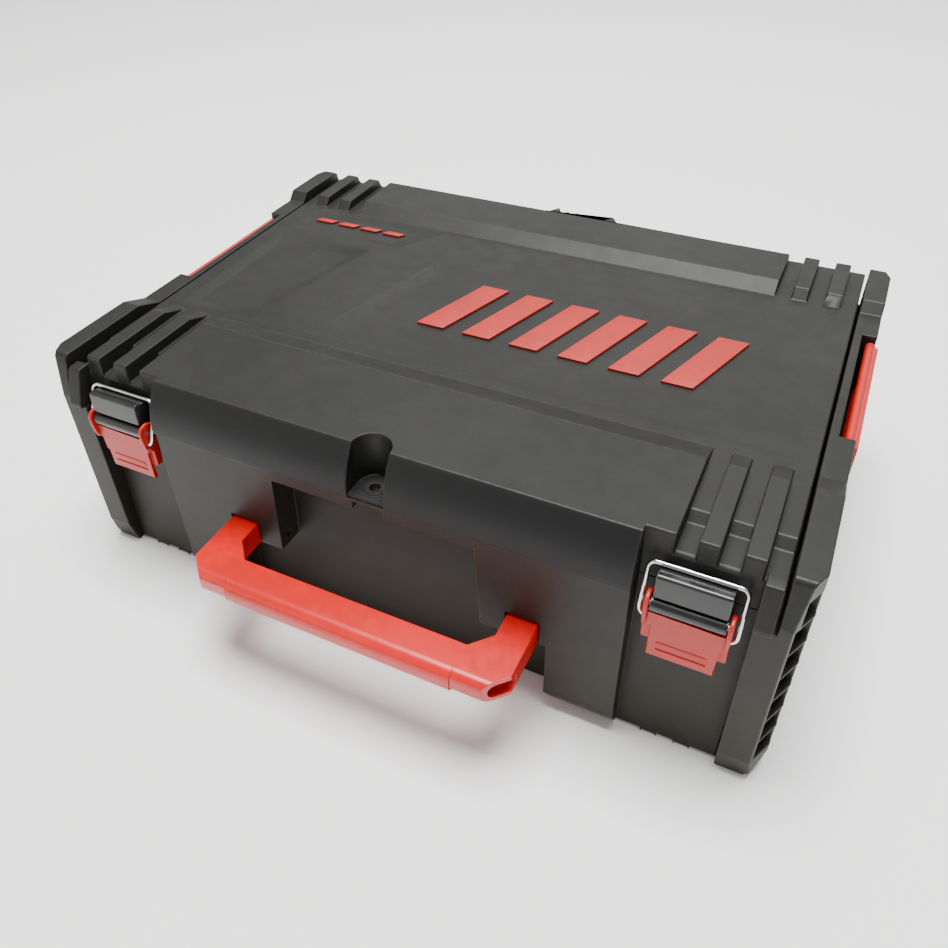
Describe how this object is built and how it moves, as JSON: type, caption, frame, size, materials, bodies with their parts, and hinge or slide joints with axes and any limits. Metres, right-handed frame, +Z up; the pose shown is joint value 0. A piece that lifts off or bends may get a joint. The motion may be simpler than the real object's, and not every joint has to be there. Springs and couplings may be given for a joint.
{
  "type": "hard tool case",
  "caption": "Moulded hard tool case with hinged lid, wire bail latches, folding front handle and side stacking latches.",
  "frame": {"origin": "on the ground under the middle of the body", "axes": "+X along the width, the front with the handle faces -Y, +Z up"},
  "size_m": [0.4848, 0.3992, 0.1605],
  "materials": {
    "moulded_charcoal": "fine textured",
    "black_nylon": "semi-gloss",
    "red_plastic": "satin",
    "red_inlay": "satin",
    "zinc_steel": "zinc plated",
    "bright_wire": "polished"
  },
  "bodies": {
    "base": {"base_shell": "moulded_charcoal", "bumper_left": "moulded_charcoal", "bumper_right": "moulded_charcoal", "bumper_screws": "zinc_steel", "hinge_pin_left": "zinc_steel", "hinge_pin_right": "zinc_steel", "latch_bracket_left": "black_nylon", "latch_bracket_right": "black_nylon", "bracket_screws": "zinc_steel", "handle_pin_left": "zinc_steel", "handle_pin_right": "zinc_steel", "stack_pin_left": "zinc_steel", "stack_pin_right": "zinc_steel"},
    "lid": {"lid_shell": "moulded_charcoal", "keeper_left": "black_nylon", "keeper_right": "black_nylon", "keeper_screws": "zinc_steel", "lid_stripes": "red_inlay", "lid_dashes": "red_inlay"},
    "handle": {"handle_frame": "red_plastic", "handle_grip": "red_plastic"},
    "lever_left": {"latch_lever_left": "red_plastic", "latch_pin_left": "zinc_steel"},
    "lever_right": {"latch_lever_right": "red_plastic", "latch_pin_right": "zinc_steel"},
    "bail_left": {"bail_left": "bright_wire"},
    "bail_right": {"bail_right": "bright_wire"},
    "stack_left": {"stack_latch_left": "red_plastic"},
    "stack_right": {"stack_latch_right": "red_plastic"}
  },
  "joints": [
    {"name": "lid_hinge", "type": "hinge", "parent": "base", "child": "lid", "pos_m": [0, 0.171, 0.127], "axis": [-1, 0, 0], "range_deg": [0, 105]},
    {"name": "handle_fold", "type": "hinge", "parent": "base", "child": "handle", "pos_m": [0, -0.164, 0.066], "axis": [1, 0, 0], "range_deg": [-8, 90]},
    {"name": "lever_lift_left", "type": "hinge", "parent": "base", "child": "lever_left", "pos_m": [-0.1844, -0.172, 0.123], "axis": [-1, 0, 0], "range_deg": [0, 90]},
    {"name": "bail_swing_left", "type": "hinge", "parent": "lever_left", "child": "bail_left", "pos_m": [-0.1844, -0.1738, 0.115], "axis": [1, 0, 0], "range_deg": [0, 108]},
    {"name": "lever_lift_right", "type": "hinge", "parent": "base", "child": "lever_right", "pos_m": [0.1844, -0.172, 0.123], "axis": [-1, 0, 0], "range_deg": [0, 90]},
    {"name": "bail_swing_right", "type": "hinge", "parent": "lever_right", "child": "bail_right", "pos_m": [0.1844, -0.1738, 0.115], "axis": [1, 0, 0], "range_deg": [0, 108]},
    {"name": "stack_flip_left", "type": "hinge", "parent": "base", "child": "stack_left", "pos_m": [-0.2374, 0.019, 0.1465], "axis": [0, 1, 0], "range_deg": [0, 150]},
    {"name": "stack_flip_right", "type": "hinge", "parent": "base", "child": "stack_right", "pos_m": [0.2374, 0.019, 0.1465], "axis": [0, -1, 0], "range_deg": [0, 150]}
  ],
  "couplings": [
    {"joint": "bail_swing_left", "follows": "lever_lift_left", "ratio": 1.2},
    {"joint": "bail_swing_right", "follows": "lever_lift_right", "ratio": 1.2}
  ]
}
